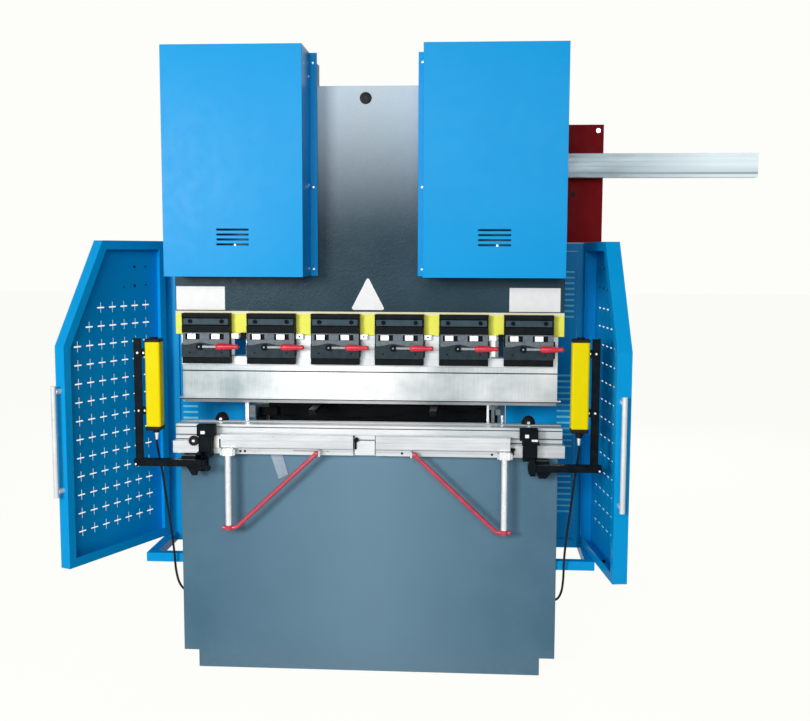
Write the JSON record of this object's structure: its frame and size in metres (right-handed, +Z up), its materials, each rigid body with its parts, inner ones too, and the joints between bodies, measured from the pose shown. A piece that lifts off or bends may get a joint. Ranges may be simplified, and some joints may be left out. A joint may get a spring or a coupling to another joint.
{
  "type": "press brake",
  "caption": "Small hydraulic press brake with a plate bed, tee ram, twin covered cylinders, quick clamps, hinged side guards and light curtains.",
  "frame": {"origin": "on the floor under the bending line, at the bed plate's underside, midway between the machine's ends", "axes": "+X to the operator's right along the bending line, +Y away from the operator, +Z up"},
  "size_m": [2.1755, 1.0512, 1.946],
  "materials": {
    "blue_paint": "gloss",
    "slate_paint": "satin",
    "ram_paint": "hammered gloss",
    "motor_iron": "painted satin",
    "dark_red_paint": "satin",
    "red_paint": "gloss",
    "yellow_paint": "satin",
    "black_metal": "black oxide",
    "ground_steel": "ground",
    "aluminium": "satin anodised",
    "chrome": "polished",
    "cable_rubber": "matt"
  },
  "bodies": {
    "frame": {"bed_plate": "slate_paint", "side_frame_left": "slate_paint", "side_frame_right": "slate_paint", "rear_beam": "slate_paint", "oil_tank": "slate_paint", "pump_motor": "motor_iron", "cylinder_mount_left": "slate_paint", "cylinder_mount_right": "slate_paint", "cylinder_left": "slate_paint", "cylinder_right": "slate_paint", "cylinder_cover_left": "blue_paint", "cylinder_cover_right": "blue_paint", "ram_guide_left": "ground_steel", "ram_guide_right": "ground_steel", "electrical_cabinet": "dark_red_paint", "guard_frame_left": "blue_paint", "guard_frame_right": "blue_paint", "guard_panel_left": "blue_paint", "guard_panel_right": "blue_paint", "die_holder": "ground_steel", "lower_die": "ground_steel", "front_rail_left": "aluminium", "front_rail_right": "aluminium", "curtain_mount_left": "black_metal", "curtain_mount_right": "black_metal", "curtain_strut_left": "black_metal", "curtain_strut_right": "black_metal", "light_curtain_left": "yellow_paint", "light_curtain_right": "yellow_paint", "curtain_cable_left": "cable_rubber", "curtain_cable_right": "cable_rubber", "gauge_rail_left": "ground_steel", "gauge_rail_right": "ground_steel"},
    "ram": {"ram_plate": "ram_paint", "piston_rod_left": "chrome", "piston_rod_right": "chrome", "punch_holder": "ground_steel", "punch": "ground_steel", "clamp_1": "black_metal", "clamp_2": "black_metal", "clamp_3": "black_metal", "clamp_4": "black_metal", "clamp_5": "black_metal", "clamp_6": "black_metal"},
    "lever_1": {"clamp_lever_1": "red_paint"},
    "lever_2": {"clamp_lever_2": "red_paint"},
    "lever_3": {"clamp_lever_3": "red_paint"},
    "lever_4": {"clamp_lever_4": "red_paint"},
    "lever_5": {"clamp_lever_5": "red_paint"},
    "lever_6": {"clamp_lever_6": "red_paint"},
    "left_door": {"guard_door_left": "blue_paint", "door_handle_left": "aluminium"},
    "right_door": {"guard_door_right": "blue_paint", "door_handle_right": "aluminium"},
    "left_support": {"sheet_support_left": "red_paint"},
    "right_support": {"sheet_support_right": "red_paint"},
    "arm": {"pendant_arm": "aluminium"},
    "gauge": {"gauge_beam": "black_metal"},
    "left_finger": {"gauge_finger_left": "ground_steel"},
    "right_finger": {"gauge_finger_right": "ground_steel"}
  },
  "joints": [
    {"name": "ram_slide", "type": "slide", "parent": "frame", "child": "ram", "axis": [0, 0, 1], "range_m": [-0.05, 0.05]},
    {"name": "lever_1_turn", "type": "hinge", "parent": "ram", "child": "lever_1", "pos_m": [-0.5245, -0.07, 1.0455], "axis": [0, 1, 0], "range_deg": [-90, 90]},
    {"name": "lever_2_turn", "type": "hinge", "parent": "ram", "child": "lever_2", "pos_m": [-0.3195, -0.07, 1.0455], "axis": [0, 1, 0], "range_deg": [-90, 90]},
    {"name": "lever_3_turn", "type": "hinge", "parent": "ram", "child": "lever_3", "pos_m": [-0.1175, -0.07, 1.0455], "axis": [0, 1, 0], "range_deg": [-90, 90]},
    {"name": "lever_4_turn", "type": "hinge", "parent": "ram", "child": "lever_4", "pos_m": [0.0825, -0.07, 1.0455], "axis": [0, 1, 0], "range_deg": [-90, 90]},
    {"name": "lever_5_turn", "type": "hinge", "parent": "ram", "child": "lever_5", "pos_m": [0.2825, -0.07, 1.0455], "axis": [0, 1, 0], "range_deg": [-90, 90]},
    {"name": "lever_6_turn", "type": "hinge", "parent": "ram", "child": "lever_6", "pos_m": [0.4825, -0.07, 1.0455], "axis": [0, 1, 0], "range_deg": [-90, 90]},
    {"name": "left_door_hinge", "type": "hinge", "parent": "frame", "child": "left_door", "pos_m": [-0.731, 0.21, 0.374], "axis": [0, 0, -1], "range_deg": [-17, 80]},
    {"name": "right_door_hinge", "type": "hinge", "parent": "frame", "child": "right_door", "pos_m": [0.731, 0.21, 0.374], "axis": [0, 0, 1], "range_deg": [0, 95]},
    {"name": "left_support_swing", "type": "hinge", "parent": "frame", "child": "left_support", "pos_m": [-0.4295, -0.111, 0.72], "axis": [1, 0, 0], "range_deg": [-90, 0]},
    {"name": "right_support_swing", "type": "hinge", "parent": "frame", "child": "right_support", "pos_m": [0.4295, -0.111, 0.72], "axis": [1, 0, 0], "range_deg": [-90, 0]},
    {"name": "arm_swing", "type": "hinge", "parent": "frame", "child": "arm", "pos_m": [0.5, 0.25, 1.625], "axis": [0, 0, 1], "range_deg": [-40, 10]},
    {"name": "gauge_slide", "type": "slide", "parent": "frame", "child": "gauge", "axis": [0, 1, 0], "range_m": [-0.035, 0.25]},
    {"name": "left_finger_slide", "type": "slide", "parent": "gauge", "child": "left_finger", "axis": [1, 0, 0], "range_m": [-0.12, 0.12]},
    {"name": "right_finger_slide", "type": "slide", "parent": "gauge", "child": "right_finger", "axis": [1, 0, 0], "range_m": [-0.12, 0.12]}
  ]
}
